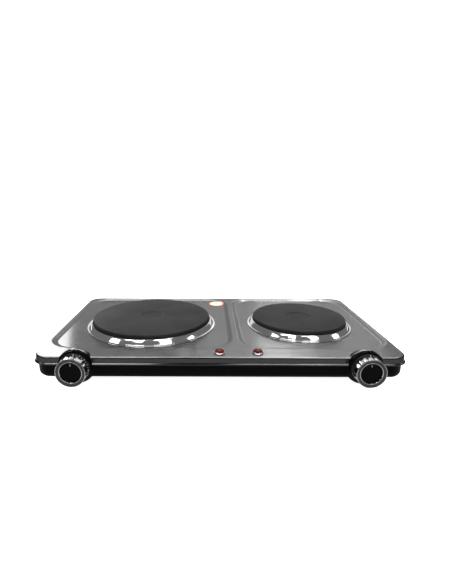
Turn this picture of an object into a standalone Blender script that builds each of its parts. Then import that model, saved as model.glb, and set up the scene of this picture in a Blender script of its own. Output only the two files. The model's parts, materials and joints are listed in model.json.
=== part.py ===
"""Double electric hot plate: pressed steel top, black tray, two cast-iron plates, two control knobs.

Datum used below, in millimetres: x runs to the right from the middle of the body, y runs back
from the front edge of the top, z runs up from the flat border of the top. place() turns a datum
point into a world point in metres, with the origin on the table under the middle of the part.
"""
import math

import bmesh
import bpy
from mathutils import Vector

MM = 0.001
GAP = 0.3                      # clearance between pieces that rest on or fit into each other

# Body
TOP_WIDTH = 476.0
TOP_DEPTH = 272.0
CORNER = 20.0                  # corner radius of the top, seen from above
SHEET = 0.8                    # steel sheet of the top
LIP = 2.0                      # how far the hemmed lip of the top stands out
RIM_HEIGHT = 10.4
BODY_HEIGHT = 31.0             # top surface down to the underside of the tray
FOOT_HEIGHT = 11.0
TRAY_INSET = 2.4               # tray wall behind the edge of the top
TRAY_WALL = 2.0
TRAY_FILLET = 9.0
TRAY_TOP = -1.5
FLOOR = -BODY_HEIGHT + TRAY_WALL

# Recessed panels of the top
PANEL_DROP = 2.5
PANEL_SLOPE = 8.0              # width of the sloping step around a panel
PANEL_RADIUS = 38.0
PANEL_SIDE = 4.0
PANEL_FRONT = 28.5
PANEL_BACK = 267.5
RIDGE_X = 23.5
RIDGE_WIDTH = 6.0
PANEL_UNDER = -PANEL_DROP - SHEET

# Plates: centre x, centre y, radius, radius of the trim ring around it
ROUND = 44                     # sides of a plate, its ring and its opening
PLATE_TOP = 11.0
PLATE_UNDER = -2.6
PLATES = {
    "large": (-103.5, 135.0, 90.0, 99.0),
    "small": (126.8, 133.0, 71.0, 79.6),
}
STUD_RADIUS = 3.0
CLAMP_LOW = -9.0
CLAMP_HALF_WIDTH = 11.0
CLAMP_THICK = 1.5

# Knobs
KNOB_X = 182.3
KNOB_Z = -12.1
KNOB_FRONT = -20.3
GRIP_RADIUS = 18.5
GRIP_REAR = -9.3
GRIP_BORE = 13.3
CORE_RADIUS = 13.0
SKIRT_FRONT_RADIUS = 18.0
SKIRT_REAR_RADIUS = 19.6
FLUTES = 16
FLUTE_DEPTH = 0.9
BEZEL_RADIUS = 21.5
BEZEL_FRONT = -4.3
ARCH_RADIUS = BEZEL_RADIUS + 0.4
ARCH = [(0.0, 0.0), (4.0, 0.5), (9.0, 2.3), (14.0, 5.2), (19.0, 9.0), (24.0, 14.0)]  # y, loss of radius
SHAFT_RADIUS = 3.0
SHAFT_HOLE = 5.0
CAM_RADIUS = 4.0
CAM_LIFT = 0.8
KNOB_TRAVEL = math.radians(270)
BEZEL_PIN_X = 13.0
BEZEL_PIN_Z = -20.0

# Thermostats, behind the knobs
THERMOSTAT = (7.6, 21.0)       # front and rear of the thermostat body
SPADE_X = 9.0                  # the two spade terminals stand this far from the shaft
SPADE_Z = -23.5
SPADE_LENGTH = 6.0
CAM_FRONT = 22.0
CAM_REAR = 25.0
ARM_PIVOT = -14.0              # contact arm's pivot, across from the shaft
ARM_THICK = 0.6
ARM_TOP = KNOB_Z - CAM_RADIUS - 0.5

# Pilot lights and small things on the top
LIGHT_Y = 13.8
LIGHT_XS = {"left": RIDGE_X - 24.6, "right": RIDGE_X + 24.6}
STICKER = (-2.5, 237.5, 12.8)

# Under the top
SHIELD_TOP = -19.0
FEET = {"front_left": (-195, 36), "front_right": (195, 36),
        "rear_left": (-195, 236), "rear_right": (195, 236)}
SCREWS = {"front_left": (-215, 60), "front_right": (215, 60),
          "rear_left": (-215, 212), "rear_right": (215, 212)}
SHIELD_POSTS = [(-150, 58), (150, 58), (-150, 215), (150, 215)]
GLAND = (-60.0, -17.6)         # x and z of the cord gland in the rear wall
GLAND_HOLE = 5.0
TERMINAL = (-32.0, 12.0, 238.0, 252.0)      # left, right, front and rear of the terminal block
EARTH = (40.0, 246.0)
LEAD_RADIUS = 1.2
LEAD_END = -1.4                # height at which a lead meets its plate's element
ELEMENT_ENDS = {"large": (-128.0, 88.0), "small": (149.0, 90.0)}
RETURN_ENDS = {"large": (-85.0, 190.0), "small": (105.0, 185.0)}
SCREW_BORE = 2.1
VENTS = 4
VENT_PITCH = 18.0
VENT_WIDTH = 5.0

MID_Y = (TOP_DEPTH + LIP + KNOB_FRONT) / 2
TABLE = -(BODY_HEIGHT + FOOT_HEIGHT)


def place(x, y, z):
    return Vector((x, y - MID_Y, z - TABLE)) * MM


# ---------------------------------------------------------------- materials
def paint(name, colour, roughness, metallic=0.0):
    found = bpy.data.materials.get(name)
    if found:
        return found
    made = bpy.data.materials.new(name)
    made.use_nodes = True
    made.diffuse_color = (*colour, 1.0)
    shader = made.node_tree.nodes["Principled BSDF"]
    shader.inputs["Base Color"].default_value = (*colour, 1.0)
    shader.inputs["Roughness"].default_value = roughness
    shader.inputs["Metallic"].default_value = metallic
    return made


STEEL = ("brushed_steel", (0.60, 0.60, 0.59), 0.32, 1.0)
CHROME = ("chrome", (0.85, 0.85, 0.86), 0.08, 1.0)
IRON = ("cast_iron", (0.03, 0.03, 0.03), 0.65, 0.0)
BLACK = ("black_enamel", (0.015, 0.015, 0.016), 0.35, 0.0)
PLASTIC = ("black_plastic", (0.02, 0.02, 0.02), 0.4, 0.0)
SKIRT = ("grey_plastic", (0.06, 0.06, 0.06), 0.45, 0.0)
ZINC = ("zinc_steel", (0.55, 0.55, 0.52), 0.45, 1.0)
CERAMIC = ("ceramic", (0.75, 0.73, 0.68), 0.7, 0.0)
RUBBER = ("black_rubber", (0.02, 0.02, 0.02), 0.85, 0.0)
RED = ("red_lens", (0.6, 0.03, 0.02), 0.15, 0.0)
BRASS = ("brass", (0.72, 0.52, 0.22), 0.35, 1.0)
SILICONE = ("lead_insulation", (0.75, 0.72, 0.65), 0.6, 0.0)
LABEL = ("label", (0.85, 0.35, 0.25), 0.5, 0.0)


# ---------------------------------------------------------------- solid builders
def finish_mesh(name, bm, colour, origin=None, sharp=35):
    """Weld, face outwards, and link the mesh as an object whose origin is at origin."""
    bmesh.ops.remove_doubles(bm, verts=bm.verts, dist=1e-7)
    bmesh.ops.dissolve_degenerate(bm, dist=1e-8, edges=bm.edges)
    bmesh.ops.recalc_face_normals(bm, faces=bm.faces)
    base = origin or Vector((0, 0, 0))
    bmesh.ops.translate(bm, verts=bm.verts, vec=-base)
    mesh = bpy.data.meshes.new(name)
    bm.to_mesh(mesh)
    bm.free()
    mesh.shade_smooth()
    mesh.set_sharp_from_angle(angle=math.radians(sharp))
    mesh.materials.append(paint(*colour))
    made = bpy.data.objects.new(name, mesh)
    made.location = base
    bpy.context.collection.objects.link(made)
    return made


def add_loft(bm, rings, closed=False):
    """Skin a run of rings; closed joins the last to the first, otherwise the ends are capped."""
    rows = [[bm.verts.new(p) for p in ring] for ring in rings]
    count = len(rows[0])
    pairs = list(zip(rows, rows[1:]))
    if closed:
        pairs.append((rows[-1], rows[0]))
    for near, far in pairs:
        for i in range(count):
            j = (i + 1) % count
            bm.faces.new((near[i], near[j], far[j], far[i]))
    if not closed:
        bm.faces.new(list(reversed(rows[0])))
        bm.faces.new(rows[-1])


def loft(name, rings, colour, closed=False, origin=None):
    bm = bmesh.new()
    add_loft(bm, rings, closed)
    return finish_mesh(name, bm, colour, origin)


def turned_rings(profile, centre, axis, steps, radius_at=None):
    """Rings of a turned shape. profile holds (radius, position along the axis) pairs."""
    rings = []
    for radius, along in profile:
        ring = []
        for i in range(steps):
            angle = 2 * math.pi * i / steps
            r = radius_at(radius, along, angle) if radius_at else radius
            across, up = r * math.cos(angle), r * math.sin(angle)
            if axis == "Z":
                ring.append(place(centre[0] + across, centre[1] + up, along))
            else:
                ring.append(place(centre[0] + across, along, centre[1] + up))
        rings.append(ring)
    return rings


def turned(name, profile, centre, colour, axis="Z", steps=48, closed=False, radius_at=None,
           origin=None):
    bm = bmesh.new()
    add_turned(bm, profile, centre, axis, steps, closed, radius_at)
    return finish_mesh(name, bm, colour, origin)


def add_turned(bm, profile, centre, axis="Z", steps=24, closed=False, radius_at=None):
    """A turned shape; an end of the profile that isn't at radius 0 is capped."""
    rings = turned_rings(profile, centre, axis, steps, radius_at)
    rows = [[bm.verts.new(p) for p in ring] for ring in rings]
    pairs = list(zip(rows, rows[1:]))
    if closed:
        pairs.append((rows[-1], rows[0]))
    for near, far in pairs:
        for i in range(steps):
            j = (i + 1) % steps
            bm.faces.new((near[i], near[j], far[j], far[i]))
    if not closed and profile[0][0] > 0:
        bm.faces.new(list(reversed(rows[0])))
    if not closed and profile[-1][0] > 0:
        bm.faces.new(rows[-1])


def add_box(bm, low, high):
    (x0, y0, z0), (x1, y1, z1) = low, high
    ring = [(x0, y0), (x1, y0), (x1, y1), (x0, y1)]
    add_loft(bm, [[place(x, y, z) for x, y in ring] for z in (z0, z1)])


def box(name, low, high, colour):
    bm = bmesh.new()
    add_box(bm, low, high)
    return finish_mesh(name, bm, colour)


def strip(name, outline, x0, x1, colour):
    """Extrude a side outline of (y, z) points from x0 to x1."""
    return loft(name, [[place(x, y, z) for y, z in outline] for x in (x0, x1)], colour)


def boolean(target, tool, operation="DIFFERENCE"):
    tool.hide_render = True
    tool.display_type = "WIRE"
    step = target.modifiers.new(operation.lower(), "BOOLEAN")
    step.operation = operation
    step.object = tool


def holes(name, centres, radius, low, high, axis="Z", steps=16):
    """One cutter made of equal round pins, each from low to high along the axis."""
    bm = bmesh.new()
    for centre in centres:
        add_turned(bm, [(radius, low), (radius, high)], centre, axis, steps)
    return finish_mesh(name, bm, ZINC)


def rounded_outline(x0, x1, y0, y1, radius, per_corner=6):
    """Corner-rounded rectangle, counter-clockwise from the front right corner."""
    points = []
    corners = [(x1 - radius, y0 + radius, -90), (x1 - radius, y1 - radius, 0),
               (x0 + radius, y1 - radius, 90), (x0 + radius, y0 + radius, 180)]
    for cx, cy, start in corners:
        for i in range(per_corner):
            angle = math.radians(start + 90 * i / (per_corner - 1))
            points.append((cx + radius * math.cos(angle), cy + radius * math.sin(angle)))
    return points


def body_ring(offset, z):
    """The body's plan outline, moved outwards by offset, at height z."""
    half = TOP_WIDTH / 2 + offset
    outline = rounded_outline(-half, half, -offset, TOP_DEPTH + offset, CORNER + offset)
    return [place(x, y, z) for x, y in outline]


def body_loft(name, steps, colour=STEEL):
    return loft(name, [body_ring(offset, z) for offset, z in steps], colour)


# ---------------------------------------------------------------- top cover
def panel_tool(name, x0, x1, below, above):
    """The space of one recessed panel, grown downwards by below and upwards by above."""
    step = [(0.0, above), (0.0, 0.0), (1.8, -0.3), (PANEL_SLOPE - 1.8, 0.3 - PANEL_DROP),
            (PANEL_SLOPE, -PANEL_DROP)]
    rings = []
    for inset, z in step:
        drop = z if z > 0 else z - below
        outline = rounded_outline(x0 + inset, x1 - inset, PANEL_FRONT + inset, PANEL_BACK - inset,
                                  PANEL_RADIUS - inset)
        rings.append([place(x, y, drop) for x, y in outline])
    return loft(name, rings, STEEL)


def panel_sides():
    half = TOP_WIDTH / 2 - PANEL_SIDE
    return {"left": (-half, RIDGE_X - RIDGE_WIDTH / 2), "right": (RIDGE_X + RIDGE_WIDTH / 2, half)}


def arch_tool(name, x, outer):
    """Half-round hump that carries the top over a knob bezel: the metal, or the space under it."""
    low = math.radians(6 if outer else -6)
    steps = 14
    skin = SHEET if outer else 0.0
    stations = ARCH if outer else [(-6.0, 0.0)] + ARCH
    rings = []
    for y, shrink in stations:
        radius = ARCH_RADIUS + skin - shrink
        ring = []
        for i in range(steps + 1):
            angle = low + (math.pi - 2 * low) * i / steps
            ring.append(place(x + radius * math.cos(angle), y, KNOB_Z + radius * math.sin(angle)))
        rings.append(ring)
    return loft(name, rings, STEEL)


def top_cover():
    cover = body_loft("top_cover", [(-2.0, 0.0), (-0.6, -0.6), (0.0, -2.0), (0.2, -7.6), (1.4, -8.4),
                                    (LIP, -9.0), (LIP, -9.9), (1.4, -RIM_HEIGHT)])
    inside = body_loft("cover_inside", [(-2.6, -SHEET), (-SHEET, -2.4), (-SHEET, -RIM_HEIGHT - 3)])
    for side, (x0, x1) in panel_sides().items():
        boolean(inside, panel_tool(side + "_panel_under", x0, x1, SHEET, 3.0), "DIFFERENCE")
    for side, x in (("left", -KNOB_X), ("right", KNOB_X)):
        boolean(cover, arch_tool(side + "_arch_outer", x, True), "UNION")
        boolean(cover, arch_tool(side + "_arch_inner", x, False), "DIFFERENCE")
    boolean(cover, inside)
    for side, (x0, x1) in panel_sides().items():
        boolean(cover, panel_tool(side + "_panel_space", x0, x1, 0.0, 2.0))
    nuts = bmesh.new()
    for x, y in SCREWS.values():
        add_turned(nuts, [(4.5, PANEL_UNDER + 0.4), (4.5, -7.2)], (x, y), steps=8)
    boolean(cover, finish_mesh("cover_weld_nuts", nuts, ZINC), "UNION")
    boolean(cover, holes("cover_nut_bores", SCREWS.values(), SCREW_BORE, -4.2, -9.0, steps=8))
    for size, (x, y, radius, _) in PLATES.items():
        boolean(cover, holes(size + "_plate_opening", [(x, y)], radius + 1.8, -8.0, 4.0, steps=ROUND))
    centres = [(x, LIGHT_Y) for x in LIGHT_XS.values()]
    boolean(cover, holes("light_openings", centres, 6.2, -4.0, 4.0, steps=16))
    return cover


# ---------------------------------------------------------------- base tray
def tray_steps(wall, floor, fillet):
    """Offsets and heights of the tray's outside, or of its inside when wall is added."""
    steps = [(-TRAY_INSET - wall, TRAY_TOP if not wall else TRAY_TOP + 3)]
    for i in range(5):
        angle = math.radians(90 * i / 4)
        steps.append((-TRAY_INSET - wall - fillet * (1 - math.cos(angle)),
                      floor + fillet * (1 - math.sin(angle))))
    return steps


def base_tray():
    tray = body_loft("base_tray", tray_steps(0.0, -BODY_HEIGHT, TRAY_FILLET), BLACK)
    pads = bmesh.new()
    for x in (-KNOB_X, KNOB_X):
        add_turned(pads, [(24.8, 4.0), (24.4, 2.2), (22.2, 0.6), (BEZEL_RADIUS - 0.1, -0.9)],
                   (x, KNOB_Z), "Y", 24)
    pad = finish_mesh("tray_bezel_pads", pads, BLACK)
    over = box("tray_pad_trim", (-TOP_WIDTH, -30, -RIM_HEIGHT - 0.4), (TOP_WIDTH, 20, 40), BLACK)
    boolean(pad, over)
    boolean(tray, pad, "UNION")
    boolean(tray, body_loft("tray_inside", tray_steps(TRAY_WALL, FLOOR, TRAY_FILLET - TRAY_WALL), BLACK))
    posts = bmesh.new()
    for x, y in SCREWS.values():
        add_turned(posts, [(5.0, FLOOR - 1.0), (5.0, -7.5)], (x, y), steps=10)
    for x, y in SHIELD_POSTS:
        add_turned(posts, [(4.0, FLOOR - 1.0), (4.0, SHIELD_TOP - 0.6 - GAP)], (x, y), steps=8)
    boolean(tray, finish_mesh("tray_posts", posts, BLACK), "UNION")
    below = TABLE - 5.0
    boolean(tray, holes("tray_screw_bores", SCREWS.values(), SCREW_BORE, below, 0, steps=8))
    boolean(tray, holes("tray_screw_heads", SCREWS.values(), 4.0, below, FLOOR + 1.0, steps=10))
    boolean(tray, holes("tray_foot_holes", FEET.values(), 3.1, below, -20, steps=8))
    shafts = [(-KNOB_X, KNOB_Z), (KNOB_X, KNOB_Z)]
    boolean(tray, holes("tray_shaft_holes", shafts, SHAFT_HOLE, -9, 12, "Y", 16))
    pins = [(x + dx, BEZEL_PIN_Z) for x, _ in shafts for dx in (-BEZEL_PIN_X, BEZEL_PIN_X)]
    boolean(tray, holes("tray_pin_holes", pins, 2.2, -9, 12, "Y", 8))
    boolean(tray, holes("tray_gland_hole", [GLAND], GLAND_HOLE, TOP_DEPTH - 12, TOP_DEPTH + 6, "Y", 16))
    slots = bmesh.new()
    for x, y, radius, _ in PLATES.values():
        half_length, half_width = radius / 2, VENT_WIDTH / 2
        for i in range(VENTS):
            middle = y + VENT_PITCH * (i - (VENTS - 1) / 2)
            add_box(slots, (x - half_length, middle - half_width, below),
                    (x + half_length, middle + half_width, FLOOR + 3.0))
    boolean(tray, finish_mesh("tray_vents", slots, BLACK))
    return tray


# ---------------------------------------------------------------- hot plates
def hot_plate(size):
    x, y, radius, ring_radius = PLATES[size]
    spot = (x, y)
    turned(size + "_hot_plate",
           [(0, PLATE_TOP - 0.9), (17, PLATE_TOP - 0.9), (18.5, PLATE_TOP), (radius - 1.2, PLATE_TOP),
            (radius, PLATE_TOP - 1.4), (radius, PLATE_UNDER), (radius - 6, PLATE_UNDER), (radius - 7.5, 3.6),
            (12, 3.6), (10, -1.4), (3.4, -1.4), (3.4, 3.0), (0, 3.0)], spot, IRON, steps=ROUND)
    inner = radius + 0.6
    out = ring_radius
    turned(size + "_trim_ring",
           [(out, -2.2), (out, -1.4), (out - 0.8, -0.9), (out - 2.6, -0.7), (out - 4.4, 2.2),
            (out - 5.8, 5.1), (out - 7.3, 5.9), (inner, 5.2), (inner, -4.6), (inner + 0.7, -4.6),
            (inner + 0.7, 4.4), (out - 6.3, 4.2), (out - 3.3, -1.6), (out - 1.0, -1.8)],
           spot, CHROME, steps=ROUND, closed=True)
    turned(size + "_heating_element",
           [(14.5, 3.2), (radius - 9.8, 3.2), (radius - 8.9, -0.8), (14.5, -0.8)],
           spot, CERAMIC, steps=24, closed=True)
    cover = turned(size + "_plate_cover", [(3.4, -2.9), (radius - 2, -2.9), (radius - 2, -3.7), (3.4, -3.7)],
                   spot, ZINC, steps=24, closed=True)
    wires = [ELEMENT_ENDS[size], RETURN_ENDS[size]]
    boolean(cover, holes(size + "_wire_holes", wires, 2.4, -8, 0, steps=8))
    clamp_bar(size, x, y, radius)
    turned(size + "_plate_stud", [(0, 2.7), (STUD_RADIUS, 2.7), (STUD_RADIUS, -17.0), (0, -17.0)],
           spot, ZINC, steps=12)
    stud_nut(size, x, y)


def clamp_bar(size, x, y, radius):
    """Steel strap under the plate: its ends press up against the top, its middle hangs lower."""
    end, knee, step = radius + 12, radius + 5, radius - 6
    high, low = PANEL_UNDER - GAP, CLAMP_LOW + CLAMP_THICK
    upper = [(-end, high), (-knee, high), (-step, low), (step, low), (knee, high), (end, high)]
    lower = [(across, z - CLAMP_THICK) for across, z in reversed(upper)]
    sides = [[place(x + across, y + dy, z) for across, z in upper + lower]
             for dy in (-CLAMP_HALF_WIDTH, CLAMP_HALF_WIDTH)]
    bar = loft(size + "_clamp_bar", sides, ZINC)
    boolean(bar, holes(size + "_clamp_hole", [(x, y)], 3.5, -14, 0, steps=12))


def stud_nut(size, x, y):
    top = CLAMP_LOW - GAP
    nut = turned(size + "_stud_nut", [(5.8, top), (5.8, top - 5.0)], (x, y), ZINC, steps=6)
    boolean(nut, holes(size + "_nut_bore", [(x, y)], STUD_RADIUS + GAP, -20, 0, steps=12))


# ---------------------------------------------------------------- knobs and thermostats
def bezel(side, x):
    spot = (x, KNOB_Z)
    disc = turned(side + "_bezel",
                  [(0, BEZEL_FRONT), (20.2, BEZEL_FRONT), (21.1, -3.9), (BEZEL_RADIUS, -3.0),
                   (BEZEL_RADIUS, -1.2), (0, -1.2)], spot, PLASTIC, "Y", 32)
    plug_radius = BEZEL_RADIUS - 0.15
    plug = turned(side + "_bezel_plug", [(0, -2.0), (plug_radius, -2.0), (plug_radius, 2.0), (0, 2.0)],
                  spot, PLASTIC, "Y", 32)
    boolean(plug, box(side + "_bezel_trim", (x - 40, -10, -60), (x + 40, 10, -RIM_HEIGHT + 0.2), PLASTIC))
    boolean(disc, plug, "UNION")
    tip = KNOB_Z + BEZEL_RADIUS
    nub = [(x - 2.2, tip - 1.0), (x + 2.2, tip - 1.0), (x, tip + 1.9)]
    ends = [[place(px, y, pz) for px, pz in nub] for y in (-3.9, -1.6)]
    pointer = loft(side + "_bezel_nub", ends, PLASTIC)
    boolean(disc, pointer, "UNION")
    pins = [(x - BEZEL_PIN_X, BEZEL_PIN_Z), (x + BEZEL_PIN_X, BEZEL_PIN_Z)]
    boolean(disc, holes(side + "_bezel_pins", pins, 1.8, -2.0, 4.6, "Y", 8), "UNION")
    boolean(disc, holes(side + "_bezel_bore", [spot], SHAFT_HOLE, -9, 9, "Y", 16))


def flute(radius, along, angle):
    """Scalloped grip: the full radius at the front edge, hollows between ribs behind it."""
    if radius < GRIP_RADIUS or along < KNOB_FRONT + 1.2:
        return radius
    return radius - FLUTE_DEPTH * (0.5 - 0.5 * math.cos(FLUTES * angle)) ** 0.7


def knob(side, x):
    spot = (x, KNOB_Z)
    axis_point = place(x, BEZEL_FRONT, KNOB_Z)
    face = KNOB_FRONT + 2.4
    turned(side + "_knob_core",
           [(0, face), (CORE_RADIUS - 0.8, face), (CORE_RADIUS, face + 0.6), (CORE_RADIUS, -5.2),
            (SHAFT_RADIUS + GAP, -5.2), (SHAFT_RADIUS + GAP, -14.7), (0, -14.7)], spot, PLASTIC, "Y", 28, origin=axis_point)
    turned(side + "_grip_ring",
           [(GRIP_BORE, GRIP_REAR), (GRIP_BORE, KNOB_FRONT + 2.4), (14.8, KNOB_FRONT + 0.5),
            (15.4, KNOB_FRONT), (GRIP_RADIUS - 0.7, KNOB_FRONT), (GRIP_RADIUS, KNOB_FRONT + 0.7),
            (GRIP_RADIUS, KNOB_FRONT + 1.6), (GRIP_RADIUS, GRIP_REAR)],
           spot, CHROME, "Y", FLUTES * 3, closed=True, radius_at=flute, origin=axis_point)
    turned(side + "_dial_skirt",
           [(GRIP_BORE, -4.9), (GRIP_BORE, GRIP_REAR + GAP), (SKIRT_FRONT_RADIUS - 0.4, GRIP_REAR + GAP),
            (SKIRT_FRONT_RADIUS, GRIP_REAR + 0.6), (SKIRT_REAR_RADIUS, -5.6), (SKIRT_REAR_RADIUS, -4.9)],
           spot, SKIRT, "Y", 28, closed=True, origin=axis_point)
    control_shaft(side, spot, axis_point)


def cam_radius(radius, along, angle):
    """Rising spiral: smallest at the bottom, growing anticlockwise seen from the front."""
    if along < CAM_FRONT:
        return radius
    turn = (angle + math.pi / 2) % (2 * math.pi)
    if turn <= KNOB_TRAVEL:
        return radius + CAM_LIFT * turn / KNOB_TRAVEL
    fall = min((turn - KNOB_TRAVEL) / math.radians(70), 1.0)
    return radius + CAM_LIFT * (1 - fall)


def control_shaft(side, spot, axis_point):
    turned(side + "_control_shaft",
           [(SHAFT_RADIUS - 0.5, -14.4), (SHAFT_RADIUS, -13.9), (SHAFT_RADIUS, CAM_FRONT - 0.3),
            (CAM_RADIUS, CAM_FRONT), (CAM_RADIUS, CAM_REAR)],
           spot, BRASS, "Y", 24, radius_at=cam_radius, origin=axis_point)


def thermostat(side, x):
    front, rear = THERMOSTAT
    floor = FLOOR + 0.4
    bracket = strip(side + "_thermostat_bracket",
                    [(6.0, -3.0), (6.0, -22.5), (12.0, floor), (26.0, floor), (26.0, floor + 1.2),
                     (12.5, floor + 1.2), (7.2, -22.0), (7.2, -3.0)], x - 20, x + 20, ZINC)
    boolean(bracket, holes(side + "_bracket_hole", [(x, KNOB_Z)], 4.5, 3, 10, "Y", 12))
    body = strip(side + "_thermostat_body",
                 [(front, -3.6), (front, -21.5), (front + 4, -25.0), (rear, -25.0), (rear, -3.6)],
                 x - 19, x + 16, CERAMIC)
    extras = bmesh.new()
    add_box(extras, (x - 18.9, rear - 1, -24.5), (x - 15.6, rear + 4.8, -12.0))
    for dx in (-SPADE_X, SPADE_X):
        add_box(extras, (x + dx - 2.4, rear - 1, SPADE_Z - 0.4),
                (x + dx + 2.4, rear + SPADE_LENGTH, SPADE_Z + 0.4))
    boolean(body, finish_mesh(side + "_thermostat_lugs", extras, BRASS), "UNION")
    boolean(body, holes(side + "_body_bore", [(x, KNOB_Z)], SHAFT_RADIUS + 0.4, 2, 30, "Y", 12))
    left = x + ARM_PIVOT - 1.3
    near, far = CAM_FRONT + GAP, CAM_REAR - GAP
    arm = bmesh.new()
    add_box(arm, (left, near, ARM_TOP - ARM_THICK), (x + 8, far, ARM_TOP))
    pivot = place(x + ARM_PIVOT, (CAM_FRONT + CAM_REAR) / 2, ARM_TOP - ARM_THICK / 2)
    finish_mesh(side + "_contact_arm", arm, BRASS, pivot)
    box(side + "_bimetal_strip", (left, near, ARM_TOP - 3.2), (x + 12, far, ARM_TOP - 2.6), ZINC)


# ---------------------------------------------------------------- pilot lights
def pilot_light(side, x):
    spot = (x, LIGHT_Y)
    turned(side + "_light_bezel",
           [(5.4, -6.0), (5.9, -6.0), (5.9, GAP), (7.2, GAP), (7.2, 2.2), (6.8, 2.7), (6.5, 1.0),
            (5.4, 1.0)],
           spot, CHROME, steps=16, closed=True)
    turned(side + "_light_lens",
           [(0, -5.0), (5.0, -5.0), (5.0, 1.3), (6.2, 1.3), (6.2, 3.0), (5.0, 4.8), (2.6, 5.8), (0, 6.0)],
           spot, RED, steps=12)
    turned(side + "_lamp_holder",
           [(0, -17.0), (6.4, -17.0), (6.4, -6.4), (5.2, -6.4), (5.2, -15.4), (0, -15.4)],
           spot, CERAMIC, steps=12)


# ---------------------------------------------------------------- inside the tray
def heat_shield():
    front, rear, low, skin = 46.0, 228.0, SHIELD_TOP - 4.5, 0.6
    strip("heat_shield",
          [(front, SHIELD_TOP), (rear, SHIELD_TOP), (rear, low), (rear - skin, low),
           (rear - skin, SHIELD_TOP - skin), (front + skin, SHIELD_TOP - skin), (front + skin, low),
           (front, low)],
          -198, 198, ZINC)


def terminal_block():
    x0, x1, y0, y1 = TERMINAL
    block = box("terminal_block", (x0, y0, FLOOR + GAP), (x1, y1, -12.0), CERAMIC)
    middle = (y0 + y1) / 2
    wells = [(x0 + 7 + 10 * i, middle) for i in range(4)]
    boolean(block, holes("terminal_wells", wells, 2.6, -18.0, 0.0, steps=8))


def earth_terminal():
    turned("earth_terminal",
           [(0, FLOOR + GAP), (6.0, FLOOR + GAP), (6.0, -27.4), (3.0, -27.4), (3.0, -19.0), (0, -19.0)],
           EARTH, BRASS, steps=8)


def cord_gland():
    wall_out = TOP_DEPTH - TRAY_INSET
    wall_in = wall_out - TRAY_WALL
    turned("cord_gland",
           [(3.6, wall_out + 3.4), (5.9, wall_out + 3.4), (6.6, wall_out + GAP), (4.7, wall_out + GAP),
            (4.7, wall_in - GAP), (6.0, wall_in - GAP), (6.0, wall_in - 2.2), (3.6, wall_in - 2.2)],
           GLAND, PLASTIC, "Y", 12, closed=True)


def foot(name, spot):
    top = -BODY_HEIGHT - GAP
    turned(name + "_foot",
           [(0, TABLE), (8.6, TABLE), (9.4, TABLE + 0.9), (10.6, top), (2.7, top), (2.7, FLOOR + GAP),
            (3.9, FLOOR + GAP), (2.4, FLOOR + 2.6), (0, FLOOR + 2.6)], spot, RUBBER, steps=12)


def housing_screw(name, spot):
    head = -BODY_HEIGHT + 0.4
    seat = FLOOR + 0.7
    turned(name + "_screw",
           [(0, head), (3.0, head), (3.6, head + 0.6), (3.6, seat), (1.75, seat), (1.75, -4.6), (0, -4.6)],
           spot, ZINC, steps=8)


def round_label():
    x, y, radius = STICKER
    low = -PANEL_DROP + GAP
    turned("round_label", [(0, low), (radius, low), (radius, low + 0.3), (0, low + 0.3)], (x, y), LABEL,
           steps=24)


# ---------------------------------------------------------------- leads
def lead(name, route):
    """A fixed lead: a smooth tube through its route's points, round ends filled flat."""
    points = []
    ends = [route[0]] + route + [route[-1]]
    for a, b, c, d in zip(ends, ends[1:], ends[2:], ends[3:]):
        for step in range(2):
            t = step / 2
            points.append(tuple(
                0.5 * (2 * q + (r - p) * t + (2 * p - 5 * q + 4 * r - s) * t ** 2
                       + (3 * q - p - 3 * r + s) * t ** 3)
                for p, q, r, s in zip(a, b, c, d)))
    points.append(route[-1])
    curve = bpy.data.curves.new(name, "CURVE")
    curve.dimensions = "3D"
    curve.bevel_depth = LEAD_RADIUS * MM
    curve.bevel_resolution = 2
    curve.use_fill_caps = True
    spline = curve.splines.new("POLY")
    spline.points.add(len(points) - 1)
    for point, spot in zip(spline.points, points):
        point.co = (*place(*spot), 1.0)
    curve.materials.append(paint(*SILICONE))
    made = bpy.data.objects.new(name, curve)
    bpy.context.collection.objects.link(made)


def leads():
    block_front = TERMINAL[2] - 0.8
    spade = THERMOSTAT[1] + SPADE_LENGTH + 0.4
    inner, outer = KNOB_X - SPADE_X, KNOB_X + SPADE_X
    low = -26.6
    for side, sign, x in (("left", -1, -15), ("right", 1, -5)):
        lead(side + "_supply_lead",
             [(x, block_front, -23.0), (x, 235, -23.4), (x + 2 * sign, 231, -26.2), (60 * sign, 200, low),
              (168 * sign, 120, low), (171 * sign, 60, low), (173 * sign, 38, -25.6),
              (inner * sign, spade + 3, SPADE_Z), (inner * sign, spade, SPADE_Z)])
    lead("left_element_lead",
         [(-outer, spade, SPADE_Z), (-outer, spade + 3, SPADE_Z + 0.4), (-188, 38, -19.5),
          (-178, 50, -14.0), (-150, 70, -11.0), (-130, 85, -6.5), (*ELEMENT_ENDS["large"], LEAD_END)])
    lead("right_element_lead",
         [(outer, spade, SPADE_Z), (outer, spade + 3, SPADE_Z + 0.4), (188, 38, -19.5),
          (179, 50, -14.0), (163, 72, -11.0), (151, 87, -6.5), (*ELEMENT_ENDS["small"], LEAD_END)])
    lead("large_return_lead",
         [(*RETURN_ENDS["large"], LEAD_END), (-84, 192, -6.5), (-76, 210, -13.0), (-42, 228, -16.0),
          (-26, block_front - 4, -16.9), (-26, block_front - 1, -17.0), (-26, block_front, -17.0)])
    lead("small_return_lead",
         [(*RETURN_ENDS["small"], LEAD_END), (104, 187, -6.5), (80, 212, -13.0), (25, 229, -16.0),
          (5, block_front - 4, -16.9), (5, block_front - 1, -17.0), (5, block_front, -17.0)])


# ---------------------------------------------------------------- the whole part
def clear_scene():
    for old in list(bpy.data.objects):
        bpy.data.objects.remove(old, do_unlink=True)


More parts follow.
